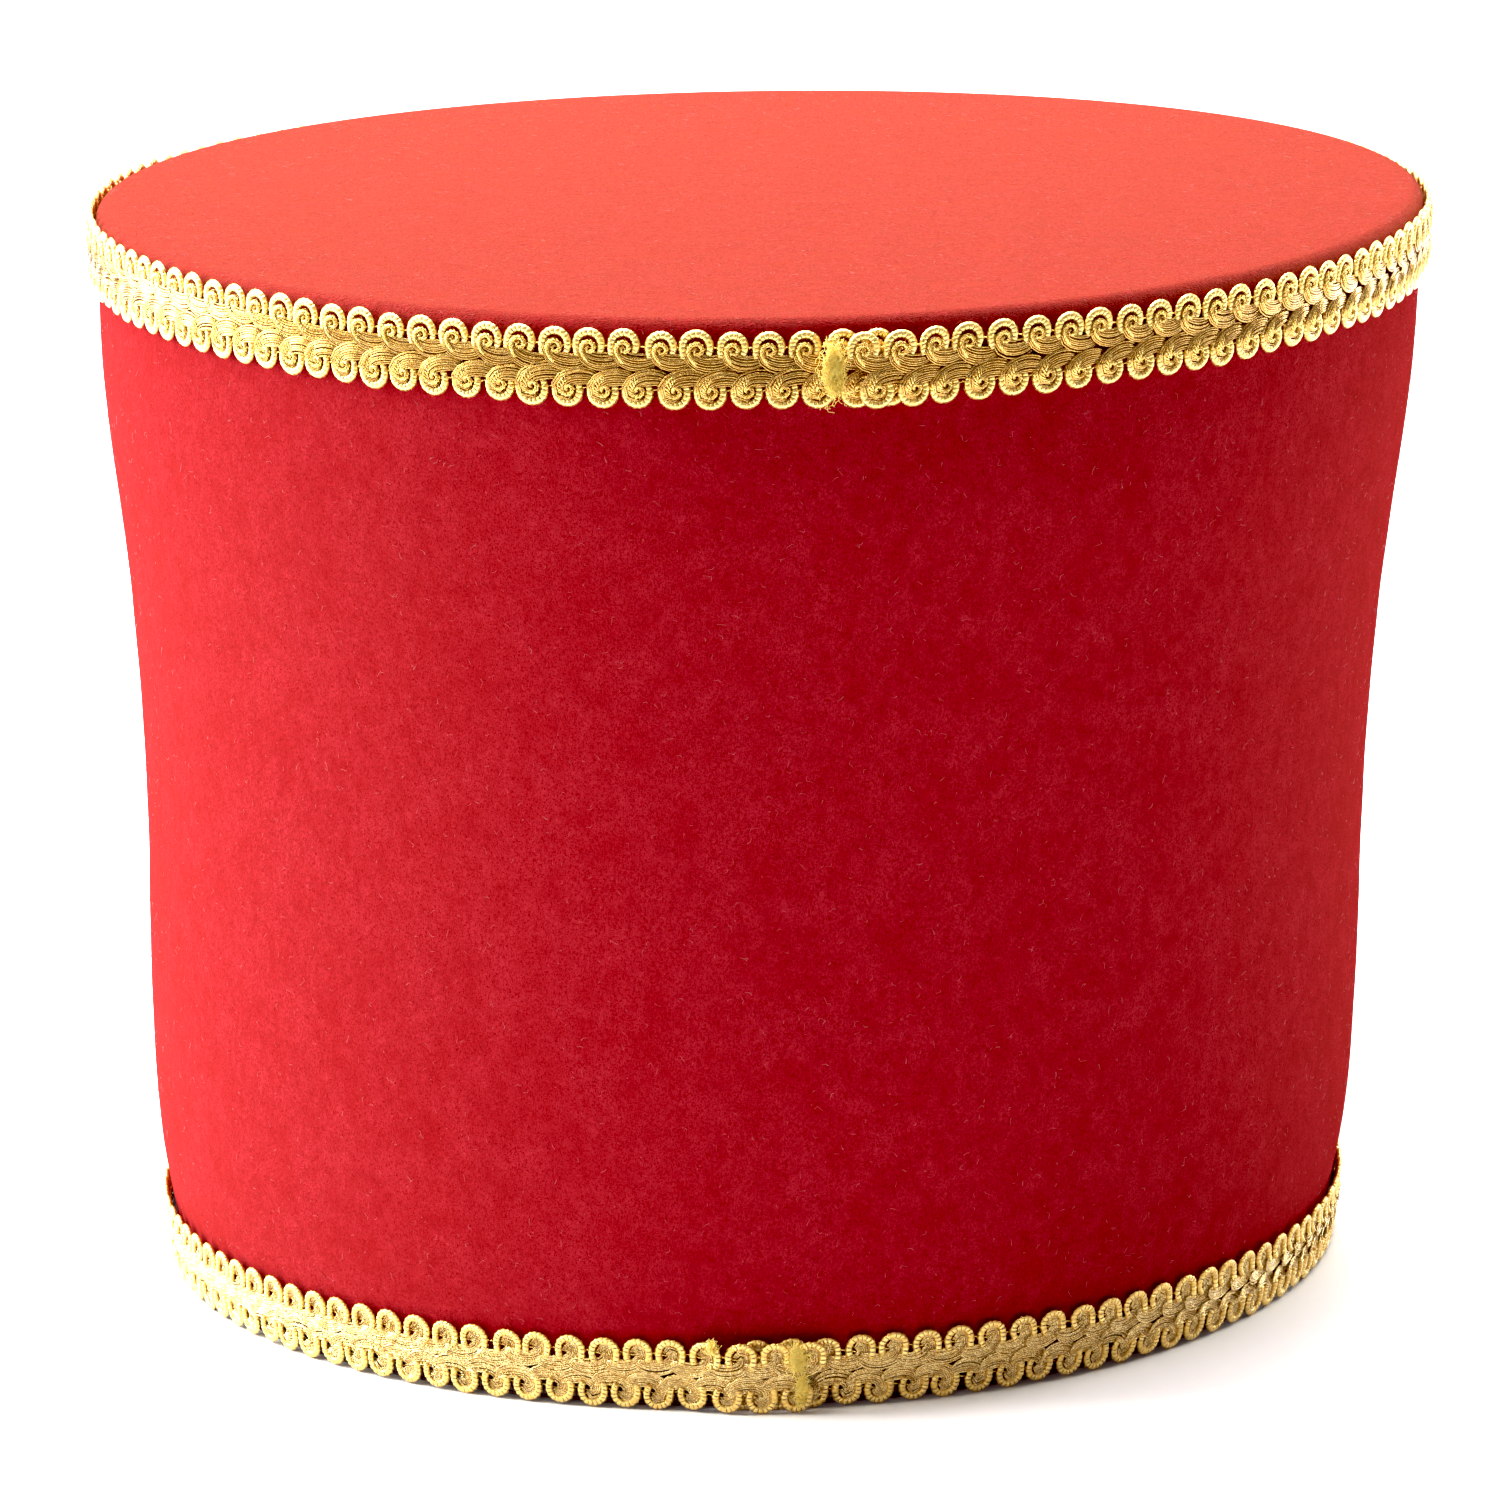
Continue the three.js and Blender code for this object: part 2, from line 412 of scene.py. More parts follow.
def needled_felt(name, colours, lie, haze, relief):
    """Wool felt, matted by barbed needles: a deep red body with a matt, hazy surface.

    lie stretches the fibres along the way the felt was drawn, haze is how much light grazes the
    nap, and relief how rough it is. The eye sees soft clumps a few millimetres wide, curly paler
    fibres on them, and a warm haze. Real fibres are finer: these are as coarse as they need to show.
    """
    cloud, clump, fibres, grain = 8 * MM, 2.2 * MM, (0.6 * MM, 0.34 * MM), 0.24 * MM
    line_width, nap_height = 0.07, 0.28 * MM
    shaded, warm = linear("#711216"), linear("#FFC98C")
    material, tree = blank_material(name)
    place = add(tree, "TexCoord").outputs["Object"]
    drawn = add(tree, "Mapping", {"Vector": place, "Scale": lie}).outputs["Vector"]
    clouds = add(tree, "TexNoise", {"Vector": place, "Scale": 1 / cloud, "Detail": 1.0}).outputs[0]
    tufts = add(tree, "TexNoise", {"Vector": drawn, "Scale": 1 / clump, "Detail": 3.0}).outputs[0]
    clumps = add(tree, "Mix", {0: 0.4, 2: tufts, 3: clouds}).outputs[0]
    grains = add(tree, "TexNoise", {"Vector": drawn, "Scale": 1 / grain, "Detail": 1.0}).outputs[0]
    # A curl lies where a noise passes its middle value, and shows where the clumps stand out.
    lines = 0.0
    for fibre in fibres:
        curls = add(tree, "TexNoise", {
            "Vector": drawn,
            "Scale": 1 / fibre,
            "Detail": 1.0,
            "Distortion": 1.2,
        })
        middle = add(tree, "Math", {0: curls.outputs[0], 1: 0.5}, operation="SUBTRACT").outputs[0]
        beside = add(tree, "Math", {0: middle}, operation="ABSOLUTE").outputs[0]
        line = add(tree, "MapRange", {0: beside, 1: 0.0, 2: line_width, 3: 1.0, 4: 0.0}).outputs[0]
        lines = add(tree, "Math", {0: line, 1: lines}, operation="MAXIMUM").outputs[0]
    shown = add(tree, "MapRange", {0: clumps, 1: 0.36, 2: 0.64, 3: 0.2, 4: 0.7}).outputs[0]
    curl = add(tree, "Math", {0: lines, 1: shown}, operation="MULTIPLY").outputs[0]
    # Painted shade: where the fine grain is low, in the hollows of the bump, the felt takes the darker
    # shaded colour. This is partly the felt's own uneven tone and partly painted shade.
    depth = add(tree, "MapRange", {0: grains, 1: 0.3, 2: 0.7}).outputs[0]
    shade = add(
        tree, "Mix", {0: depth, 6: (*shaded, 1), 7: (*colours.felt, 1)}, data_type="RGBA"
    ).outputs[2]
    tone = add(
        tree, "Mix", {0: curl, 6: shade, 7: (*colours.felt_pale, 1)}, data_type="RGBA"
    ).outputs[2]
    pile = add(tree, "Math", {0: curl, 1: clumps}, operation="ADD").outputs[0]
    height = add(tree, "Math", {0: grains, 1: pile}, operation="ADD").outputs[0]
    bump = add(tree, "Bump", {"Height": height, "Strength": relief, "Distance": nap_height}).outputs[0]
    shader = add(tree, "BsdfPrincipled", {
        "Base Color": tone,
        "Roughness": 1.0,
        "Specular IOR Level": 0.0,
        "Sheen Weight": haze,
        "Sheen Roughness": 0.5,
        "Sheen Tint": (*warm, 1),
        "Normal": bump,
    })
    add(tree, "OutputMaterial", {"Surface": shader.outputs[0]})
    return material


def loose_hair(name, colours):
    """Loose wool fibres and lint on felt: pale and matt."""
    stain = 3 * MM
    material, tree = blank_material(name)
    place = add(tree, "TexCoord").outputs["Object"]
    stains = add(tree, "TexNoise", {"Vector": place, "Scale": 1 / stain, "Detail": 1.0}).outputs[0]
    share = add(tree, "MapRange", {0: stains, 1: 0.4, 2: 0.65}).outputs[0]
    tone = add(
        tree, "Mix", {0: share, 6: (*colours.felt_pale, 1), 7: (*colours.hair, 1)}, data_type="RGBA"
    ).outputs[2]
    shader = add(tree, "BsdfPrincipled", {
        "Base Color": tone,
        "Roughness": 1.0,
        "Specular IOR Level": 0.1,
        "Sheen Weight": 0.3,
    })
    add(tree, "OutputMaterial", {"Surface": shader.outputs[0]})
    return material


def woven_tape(name, colours):
    """Black cotton tape, plain woven: matt, with fine ribs across it and a faint grey sheen."""
    rib, thread_height, between = 0.7 * MM, 0.15 * MM, linear("#0C0C0F")
    material, tree = blank_material(name)
    place = add(tree, "UVMap", uv_map="UVMap").outputs[0]
    ribs = {"Vector": place, "Scale": 0.5 / rib, "Distortion": 0.6}
    warp = add(tree, "TexWave", ribs, bands_direction="X").outputs[1]
    weft = add(tree, "TexWave", ribs, bands_direction="Y").outputs[1]
    weave = add(tree, "Math", {0: warp, 1: weft}, operation="MULTIPLY").outputs[0]
    # Painted shade: the hollows between the threads, where the weave is low, take the darker between
    # colour.
    tone = add(
        tree, "Mix", {0: weave, 6: (*between, 1), 7: (*colours.tape, 1)}, data_type="RGBA"
    ).outputs[2]
    bump = add(tree, "Bump", {"Height": weave, "Strength": 0.7, "Distance": thread_height}).outputs[0]
    shader = add(tree, "BsdfPrincipled", {
        "Base Color": tone,
        "Roughness": 0.9,
        "Specular IOR Level": 0.25,
        "Sheen Weight": 0.25,
        "Normal": bump,
    })
    add(tree, "OutputMaterial", {"Surface": shader.outputs[0]})
    return material


def foil_wound_cord(name, colours, slit_from, slit_to, gap, worn):
    """Metallised foil wound round a yellow yarn: pale gold ridges across the cord, one for each wrap.

    The UV map counts the wraps along the cord, and across it goes from -1 at the scroll's outside
    to 1 at its inside. At most joints of two wraps a slit opens on the given part of that way. It is
    painted in the dark gap colour, as painted shade inside the open joint, and each wrap has a
    different sheen. worn is how much of the foil's gold has rubbed off the yarn, at least and at most.
    """
    opened, slit_width, soft = 0.8, 0.1, 0.15  # share of joints, of a wrap, and of the way across
    ridge_height = 0.12 * MM
    material, tree = blank_material(name)
    place = add(tree, "UVMap", uv_map="UVMap").outputs[0]
    parts = add(tree, "SeparateXYZ", {0: place})
    run, side = parts.outputs[0], parts.outputs[1]
    number = add(tree, "Math", {0: run}, operation="FLOOR").outputs[0]
    joint = add(tree, "Math", {0: run, 1: 0.5}, operation="PINGPONG").outputs[0]
    chance = add(tree, "TexWhiteNoise", {"W": number}, noise_dimensions="1D").outputs[0]
    slipped = add(tree, "Math", {0: chance, 1: opened}, operation="LESS_THAN").outputs[0]
    groove = add(tree, "MapRange", {0: joint, 1: 0.48 - slit_width, 2: 0.5 - slit_width / 2}).outputs[0]
    enter = add(tree, "MapRange", {0: side, 1: slit_from - soft, 2: slit_from + soft}).outputs[0]
    leave = add(tree, "MapRange", {0: side, 1: slit_to + soft, 2: slit_to - soft}).outputs[0]
    reach = add(tree, "Math", {0: enter, 1: leave}, operation="MULTIPLY").outputs[0]
    open_joint = add(tree, "Math", {0: groove, 1: slipped}, operation="MULTIPLY").outputs[0]
    slit = add(tree, "Math", {0: open_joint, 1: reach}, operation="MULTIPLY").outputs[0]
    wear = add(tree, "MapRange", {0: chance, 1: 0.0, 2: 1.0, 3: worn[0], 4: worn[1]}).outputs[0]
    foil = add(
        tree, "Mix", {0: wear, 6: (*colours.foil, 1), 7: (*colours.worn, 1)}, data_type="RGBA"
    ).outputs[2]
    # Painted shade: an open joint takes the dark gap colour, for the shade that falls into it.
    tone = add(
        tree, "Mix", {0: slit, 6: foil, 7: (*linear(gap), 1)}, data_type="RGBA"
    ).outputs[2]
    metal = add(tree, "MapRange", {0: slit, 1: 0.0, 2: 1.0, 3: 0.8, 4: 0.0}).outputs[0]
    gloss = add(tree, "MapRange", {0: chance, 1: 0.0, 2: 1.0, 3: 0.25, 4: 0.45}).outputs[0]
    ridge = add(tree, "MapRange", {0: joint, 1: 0.5, 2: 0.2}, interpolation_type="SMOOTHSTEP").outputs[0]
    bump = add(tree, "Bump", {"Height": ridge, "Strength": 0.8, "Distance": ridge_height}).outputs[0]
    shader = add(tree, "BsdfPrincipled", {
        "Base Color": tone,
        "Metallic": metal,
        "Roughness": gloss,
        "Coat Weight": 0.6,
        "Coat Roughness": 0.2,
        "Normal": bump,
    })
    add(tree, "OutputMaterial", {"Surface": shader.outputs[0]})
    return material


def flat_foil(name, bright, metal, kinked):
    """Flat metallised filaments laid side by side: streaked gold, with glints where they are kinked.

    metal is how much they mirror the room instead of scattering its light, and kinked how deep the
    kinks are.
    """
    streak, kink = 1.1 * MM, 0.3 * MM
    dulled = [part * kept for part, kept in zip(bright, (0.75, 0.6, 0.3))]
    material, tree = blank_material(name)
    place = add(tree, "TexCoord").outputs["Object"]
    streaks = add(tree, "TexNoise", {"Vector": place, "Scale": 1 / streak, "Detail": 3.0}).outputs[0]
    kinks = add(tree, "TexNoise", {"Vector": place, "Scale": 1 / kink, "Detail": 1.0}).outputs[0]
    share = add(tree, "MapRange", {0: streaks, 1: 0.35, 2: 0.7, 3: 0.0, 4: 0.8}).outputs[0]
    tone = add(
        tree, "Mix", {0: share, 6: (*bright, 1), 7: (*dulled, 1)}, data_type="RGBA"
    ).outputs[2]
    gloss = add(tree, "MapRange", {0: streaks, 1: 0.3, 2: 0.7, 3: 0.1, 4: 0.28}).outputs[0]
    bump = add(tree, "Bump", {"Height": kinks, "Strength": 0.9, "Distance": kinked}).outputs[0]
    shader = add(tree, "BsdfPrincipled", {
        "Base Color": tone,
        "Metallic": metal,
        "Roughness": gloss,
        "Coat Weight": 0.6,
        "Coat Roughness": 0.12,
        "Normal": bump,
    })
    add(tree, "OutputMaterial", {"Surface": shader.outputs[0]})
    return material


def core_yarn(name, colours):
    """Soft rayon yarn from inside the cord: clear yellow, matt, with a little silk sheen."""
    patch, faded = 0.8 * MM, linear("#FFEE80")
    material, tree = blank_material(name)
    place = add(tree, "TexCoord").outputs["Object"]
    dye = add(tree, "TexNoise", {"Vector": place, "Scale": 1 / patch, "Detail": 2.0}).outputs[0]
    tone = add(
        tree, "Mix", {0: dye, 6: (*colours.core, 1), 7: (*faded, 1)}, data_type="RGBA"
    ).outputs[2]
    shader = add(tree, "BsdfPrincipled", {
        "Base Color": tone,
        "Roughness": 0.7,
        "Sheen Weight": 0.4,
    })
    add(tree, "OutputMaterial", {"Surface": shader.outputs[0]})
    return material


def opal_sheet(name, glow):
    """Opal acrylic with a matt face, lit a little from below: even and almost white."""
    grit, low, high = 4 * MM, linear("#F5F4F2"), linear("#F8F7F6")
    material, tree = blank_material(name)
    place = add(tree, "TexCoord").outputs["Object"]
    tooth = add(tree, "TexNoise", {"Vector": place, "Scale": 1 / grit, "Detail": 2.0}).outputs[0]
    tone = add(
        tree, "Mix", {0: tooth, 6: (*low, 1), 7: (*high, 1)}, data_type="RGBA"
    ).outputs[2]
    shader = add(tree, "BsdfPrincipled", {
        "Base Color": tone,
        "Roughness": 0.95,
        "Specular IOR Level": 0.1,
        "Emission Color": (1, 1, 1, 1),
        "Emission Strength": glow,
    })
    add(tree, "OutputMaterial", {"Surface": shader.outputs[0]})
    return material


def dark_cloth(name):
    """Brushed black cotton, as hung or laid before a set: it swallows the light."""
    brushed, low, high = 3 * MM, linear("#0E0E0E"), linear("#1A1A1A")
    material, tree = blank_material(name)
    place = add(tree, "TexCoord").outputs["Object"]
    nap = add(tree, "TexNoise", {"Vector": place, "Scale": 1 / brushed}).outputs[0]
    tone = add(
        tree, "Mix", {0: nap, 6: (*low, 1), 7: (*high, 1)}, data_type="RGBA"
    ).outputs[2]
    shader = add(tree, "BsdfPrincipled", {
        "Base Color": tone,
        "Roughness": 1.0,
        "Specular IOR Level": 0.0,
    })
    add(tree, "OutputMaterial", {"Surface": shader.outputs[0]})
    return material


# Operators


class SHAKO_OT_stage(bpy.types.Operator):
    """Sets the camera at the photograph's angle, a pale floor and soft studio light"""

    bl_idname = "shako.stage"
    bl_label = "Stage"

    FLOOR_RADIUS = 5.0
    FLOOR_SIDES = 96
    LENS = 168.0
    SENSOR = 36.0
    EYE = Vector((-4.7, -1116.0, 359.5)) * MM
    AIM = Vector((-3.4, 0.0, 81.6)) * MM
    ROLL = -0.021
    BACKDROP = 1.0  # how bright the room is where the camera looks past the hat
    ROOM = 0.4  # how bright it is in the gold's reflections
    WORLD = 0.05  # and how bright it is otherwise
    GLOW = 0.02  # the floor is a sheet lit a little from below
    CARD = ((-2.0, -3.0), (2.0, -0.42))  # corners of a dark card on the floor, before the camera
    CARD_RAISED = 1 * MM
    BLACK_LEVEL = (0.005, 0.018, 0.015)  # the photograph's deep reds have lost their green and blue
    # Name, place and size in metres, and power in watts; each light faces the crown's middle.
    LIGHTS = (
        ("overhead", (-0.3, 0.55, 1.8), (2.2, 2.2), 180.0),
        ("left", (-1.5, 0.2, 0.7), (1.0, 1.4), 80.0),
        ("right_rear", (1.2, 0.8, 0.5), (0.5, 1.0), 17.0),
        ("front_left", (-1.1, -1.3, 0.9), (1.0, 1.0), 3.0),
    )

    def execute(self, context):
        self.add_floor(context)
        self.add_lights(context)
        self.add_camera(context)
        view = context.scene.view_settings
        view.view_transform = "Standard"
        view.use_curve_mapping = True
        view.curve_mapping.black_level = self.BLACK_LEVEL
        return {"FINISHED"}

    def add_floor(self, context):
        """A round floor, and on it a dark card that the camera doesn't see but the gold reflects."""
        turn = np.linspace(0, 2 * np.pi, self.FLOOR_SIDES, endpoint=False)
        rim = np.stack((np.cos(turn), np.sin(turn), 0 * turn), axis=-1) * self.FLOOR_RADIUS
        (left, near), (right, far) = self.CARD
        outline = ((left, near), (right, near), (right, far), (left, far))
        corners = np.array([(*corner, self.CARD_RAISED) for corner in outline])
        floor = self.flat_sheet(context, "floor", rim, opal_sheet("opal_acrylic_matt", self.GLOW))
        card = self.flat_sheet(context, "dark_card", corners, dark_cloth("black_cloth_brushed"))
        card.visible_camera = False
        card.visible_shadow = False

    def flat_sheet(self, context, name, outline, material):
        """A single flat face with an outline."""
        mesh = bpy.data.meshes.new(name)
        mesh.from_pydata(outline.tolist(), [], [list(range(len(outline)))])
        mesh.materials.append(material)
        sheet = bpy.data.objects.new(name, mesh)
        context.collection.objects.link(sheet)
        return sheet

    def add_lights(self, context):
        """Soft area lights that face the crown's middle, and a room of its own strength for each ray."""
        middle = Vector((0, 0, context.scene.shako_sizes.height / 2))
        for name, place, size, power in self.LIGHTS:
            light = bpy.data.lights.new(name, "AREA")
            light.shape = "RECTANGLE"
            light.size, light.size_y = size
            light.energy = power
            lamp = bpy.data.objects.new(name, light)
            lamp.location = place
            lamp.rotation_euler = (middle - lamp.location).to_track_quat("-Z", "Y").to_euler()
            lamp.visible_camera = False
            context.collection.objects.link(lamp)
        world = bpy.data.worlds.new("studio")
        world.use_nodes = True
        tree = world.node_tree
        tree.nodes.clear()
        ray = add(tree, "LightPath").outputs
        room = add(tree, "MapRange", {0: ray["Is Glossy Ray"], 3: self.WORLD, 4: self.ROOM}).outputs[0]
        strength = add(tree, "MapRange", {0: ray["Is Camera Ray"], 3: room, 4: self.BACKDROP}).outputs[0]
        sky = add(tree, "Background", {"Color": (1, 1, 1, 1), "Strength": strength})
        add(tree, "OutputWorld", {"Surface": sky.outputs[0]})
        context.scene.world = world

    def add_camera(self, context):
        """A camera at the eye that faces the aim and is rolled about its own axis."""
        lens = bpy.data.cameras.new("photo_angle")
        lens.lens = self.LENS
        lens.sensor_width = self.SENSOR
        camera = bpy.data.objects.new("photo_angle", lens)
        facing = (self.AIM - self.EYE).to_track_quat("-Z", "Y").to_matrix()
        turned_camera = facing @ Matrix.Rotation(self.ROLL, 3, "Z")
        camera.matrix_world = Matrix.Translation(self.EYE) @ turned_camera.to_4x4()
        context.collection.objects.link(camera)
        context.scene.camera = camera


class SHAKO_OT_crown(bpy.types.Operator):
    """Builds the felt wall and the felt top"""

    bl_idname = "shako.crown"
    bl_label = "Felt crown"

    AROUND = 240
    WALL_ROWS = 50
    TOP_RINGS = 44
    SKIRT_ROWS = 6
    FOLD_ROWS = 10
    ABOVE_TAPE = 0.1 * MM
    SEAM = 0.3 * MM
    # Lie, haze and relief: fibres drawn up the wall, and from side to side on the top.
    WALL_NAP = ((1.0, 1.0, 0.75), 0.05, 0.5)
    TOP_NAP = ((0.45, 1.0, 1.0), 0.22, 0.8)

    def execute(self, context):
        sizes, colours = context.scene.shako_sizes, context.scene.shako_colours
        crown = Crown(sizes)
        self.add_wall(crown, sizes, needled_felt("wool_felt_needled_wall", colours, *self.WALL_NAP))
        self.add_top(crown, sizes, needled_felt("wool_felt_needled_top", colours, *self.TOP_NAP))
        return {"FINISHED"}

    def add_wall(self, crown, sizes, material):
        """The outer face from hem to seam and the inner face back down, a felt's thickness apart."""
        low, high = sizes.tape + self.ABOVE_TAPE, sizes.height - sizes.skirt - self.SEAM
        up = np.linspace(low, high, self.WALL_ROWS)
        down = np.linspace(high, low, self.WALL_ROWS // 2)
        z = np.concatenate((up, down))
        radius = np.concatenate((crown.half_width(up), crown.half_width(down) - sizes.felt))
        points, faces = turned(crown, radius, z, self.AROUND, dented=True)
        add_piece("felt_wall", points, faces, material, replaced="crown_side")

    def add_top(self, crown, sizes, material):
        """Underside and skirt, then up the skirt's outside, over the fold and across the dome."""
        corner = crown.half_width(np.array(sizes.height - sizes.felt)) - sizes.felt
        inner = corner * np.linspace(0, 1, self.TOP_RINGS // 2)
        outer = crown.flat * np.linspace(1, 0, self.TOP_RINGS)
        fall = sizes.height - sizes.felt + sizes.dome * (1 - (inner / corner) ** 2)
        rise = sizes.height + sizes.dome * (1 - (outer / crown.flat) ** 2)
        fold_height = sizes.height - sizes.rim_round
        down = np.linspace(sizes.height - sizes.felt, sizes.height - sizes.skirt, self.SKIRT_ROWS)[1:]
        up = np.linspace(sizes.height - sizes.skirt, fold_height, self.SKIRT_ROWS)[:-1]
        quarter = np.linspace(0, np.pi / 2, self.FOLD_ROWS)[:-1]
        radius = np.concatenate((
            inner,
            crown.half_width(down) - sizes.felt,
            crown.half_width(up),
            crown.flat + sizes.rim_round * np.cos(quarter),
            outer,
        ))
        z = np.concatenate((fall, down, up, fold_height + sizes.rim_round * np.sin(quarter), rise))
        points, faces = capped(crown, radius, z, self.AROUND)
        add_piece("felt_top", points, faces, material, replaced="crown_top")


class SHAKO_OT_tape(bpy.types.Operator):
    """Builds the tape that is folded round the hem"""

    bl_idname = "shako.tape"
    bl_label = "Hem tape"

    AROUND = 240
    GAP = 0.05 * MM
    FOLD = 1.2 * MM  # radius of the outer corners where it is folded under the hem
    FOLD_ROWS = 5

    def execute(self, context):
        sizes, colours = context.scene.shako_sizes, context.scene.shako_colours
        crown = Crown(sizes)
        outer, inner = self.GAP + sizes.tape, -sizes.felt - self.GAP - sizes.tape
        edge = sizes.tape / 2
        quarter = np.linspace(0, np.pi / 2, self.FOLD_ROWS)
        growing = self.FOLD * (1 - np.cos(quarter))
        shrinking = self.FOLD * (1 - np.sin(quarter))
        outer_fold = np.stack((shrinking, outer - growing), axis=-1)
        inner_fold = np.stack((growing, inner + shrinking), axis=-1)
        # Height and distance off the wall's outer face, round the tape's section.
        section = np.concatenate((
            [
                (sizes.tape_outside / 2, outer),
                (sizes.tape_outside - edge, outer),
                (sizes.tape_outside, outer - edge),
                (sizes.tape_outside - edge, self.GAP),
                (sizes.tape + edge, self.GAP),
                (sizes.tape, self.GAP - edge),
                (sizes.tape, -sizes.felt - self.GAP + edge),
                (sizes.tape + edge, -sizes.felt - self.GAP),
                (sizes.tape_inside - edge, -sizes.felt - self.GAP),
                (sizes.tape_inside, inner + edge),
                (sizes.tape_inside - edge, inner),
                (sizes.tape_inside / 2, inner),
            ],
            inner_fold[::-1],
            outer_fold[::-1],
        ))
        z, out = section.T
        points, faces = turned(crown, crown.half_width(z) + out, z, self.AROUND)
        steps = np.linalg.norm(np.diff(section, axis=0, append=section[:1]), axis=1)
        across = np.cumsum(steps) - steps
        around = np.arange(self.AROUND) * (2 * np.pi * WALL_SECTIONS[0, 1] * MM / self.AROUND)
        uv = np.stack(np.broadcast_arrays(around[:, None], across), axis=-1)
        material = woven_tape("cotton_tape_plain_woven", colours)
        add_piece("hem_tape_woven", points, faces, material, uv=uv, replaced="hem_tape")
        return {"FINISHED"}


class SHAKO_OT_gimp(bpy.types.Operator):
    """Builds the cords, flat bundles and linking threads of one strip of scroll gimp"""

    bl_idname = "shako.gimp"
    bl_label = "Scroll gimp"

    strip: bpy.props.EnumProperty(
        name="Strip",
        description="Which strip is built",
        items=[("UPPER", "Upper", "Along the rim"), ("LOWER", "Lower", "Along the hem")],
    )

    SCROLL_MIDDLE = np.array((0.0, 3.75, 0.0)) * MM
    SCROLL_TURN = 0.07  # scatter of the scrolls: of their turn in radians, their size and their place
    SCROLL_GROW = 0.03
    SCROLL_STRAY = 0.12 * MM
    STRAY_WAY = (1, 0.6, 0)  # share of the stray along, across and off the hat
    CORD_RINGS = 27
    CORD_SIDES = 6
    PRESSED = 0.7  # depth of a cord over its width
    # By whether the face shows: how far every second ring of a cord lies below the wraps, where the
    # slits lie across it, their dark colour, which is painted shade in the open joints, and how worn its
    # foil is, and the metal and kinks of the leaves.
    WRAP_DIP = {True: 0.07, False: 0.17}
    WINDING = {True: (-0.15, 1.2, "#7A5416", (0.0, 0.4)), False: (-0.5, 0.45, "#1E1203", (0.15, 0.7))}
    LEAF_FOIL = {True: (0.9, 0.1 * MM), False: (0.8, 0.4 * MM)}
    TWIST_FOIL = (0.75, 0.16 * MM)  # metal and kinks of the curls and links
    FILAMENTS = 8
    FILAMENT_RINGS = 11
    FILAMENT_SIDES = 4
    FILAMENT_STRAY = 0.05 * MM
    FILAMENT_LEAST = 0.08 * MM  # radius that none goes below
    FILAMENT_OVERLAP = 1.25  # radius over the half width that each has to itself
    LEAF_SPAN = 0.85  # of the half width, from the middle to the outermost filament
    LEAF_CROWN = 0.22 * MM
    # How much wider a leaf starts, and the shares of its length where that begins and stops to fade.
    LEAF_FILL = (1.4, 0.1, 0.5)
    CURL_STRANDS = 4
    CURL_RINGS = 18
    CURL_LAY = 2.2 * MM  # length of one twist of the curl
    CURL_RADIUS = 0.18 * MM
    # How much wider a curl of the lower edge ends, and the shares where that begins and is reached.
    CURL_OPENS = (1.1, 0.5, 0.8)
    LINK_STEPS = 4  # points of a linking thread in each repeat
    LINK_ACROSS, LINK_SWING = 3.15 * MM, 0.25 * MM
    LINK_OUT, LINK_RISE = 0.55 * MM, 0.15 * MM
    LINK_RADIUS = 0.14 * MM

    def execute(self, context):
        sizes, colours = context.scene.shako_sizes, context.scene.shako_colours
        crown, strip = Crown(sizes), STRIPS[self.strip]
        rng = np.random.default_rng(SEED + len(strip.node) + strip.sweep)
        repeats = crown.repeats(strip)
        places = (np.arange(repeats) + 0.5) * sizes.pitch
        rows = {
            1: self.scatter(rng, repeats, places, 1, strip),
            -1: self.scatter(rng, repeats, places + strip.sweep * ROW_SHIFT * sizes.pitch, -1, strip),
        }
        cord = foil_wound_cord(f"{strip.node}_foil_wound_cord", colours, *self.WINDING[strip.face_out])
        twist = flat_foil(f"{strip.node}_twisted_foil", colours.foil, *self.TWIST_FOIL)
        self.add_cords(crown, strip, rows, cord)
        if strip.face_out:
            self.add_curls(crown, strip, rows, twist)
        # The face's leaves take the darker copy of the foil, as painted shade, and the back's leaves
        # take the paler copy, as painted highlight.
        gold = colours.leaf if strip.face_out else colours.back
        leaf = flat_foil(f"{strip.node}_flat_foil", gold, *self.LEAF_FOIL[strip.face_out])
        self.add_leaves(crown, strip, rows, leaf, rng)
        self.add_links(crown, strip, repeats, sizes.pitch, twist)
        return {"FINISHED"}

    def scatter(self, rng, count, places, edge, strip):
        """Matrices that set scrolls on one edge.

        Each is a little turned and grown about the scroll's middle, then moved. edge is 1 for the
        upper edge and -1 for the lower one, which is a mirror of it.
        """
        angle = rng.normal(0, self.SCROLL_TURN, count)
        grow = rng.normal(1, self.SCROLL_GROW, count)
        cos, sin, zero, one = grow * np.cos(angle), grow * np.sin(angle), 0 * angle, 0 * angle + 1
        spin = np.stack((cos, -sin, zero, sin, cos, zero, zero, zero, one), axis=-1).reshape(-1, 3, 3)
        mirror = np.diag((strip.sweep, edge, 1.0))
        shift = self.SCROLL_MIDDLE - spin @ self.SCROLL_MIDDLE
        shift += rng.normal(0, self.SCROLL_STRAY, (count, 3)) * self.STRAY_WAY
        moved = shift @ mirror + np.stack((places, zero, zero), axis=-1)
        return np.concatenate((mirror @ spin, moved[..., None]), axis=-1)

    def set_out(self, strip, matrices, paths):
        """Copies of paths, one for each matrix; on a strip that shows its back, seen from behind."""
        placed = np.einsum("mij,...pj->m...pi", matrices[..., :3], paths)
        placed = placed + matrices[..., 3].reshape(-1, *[1] * (paths.ndim - 1), 3)
        if not strip.face_out:
            placed[..., 2] = GIMP_DEPTH - placed[..., 2]
        return placed.reshape(-1, *placed.shape[-2:])

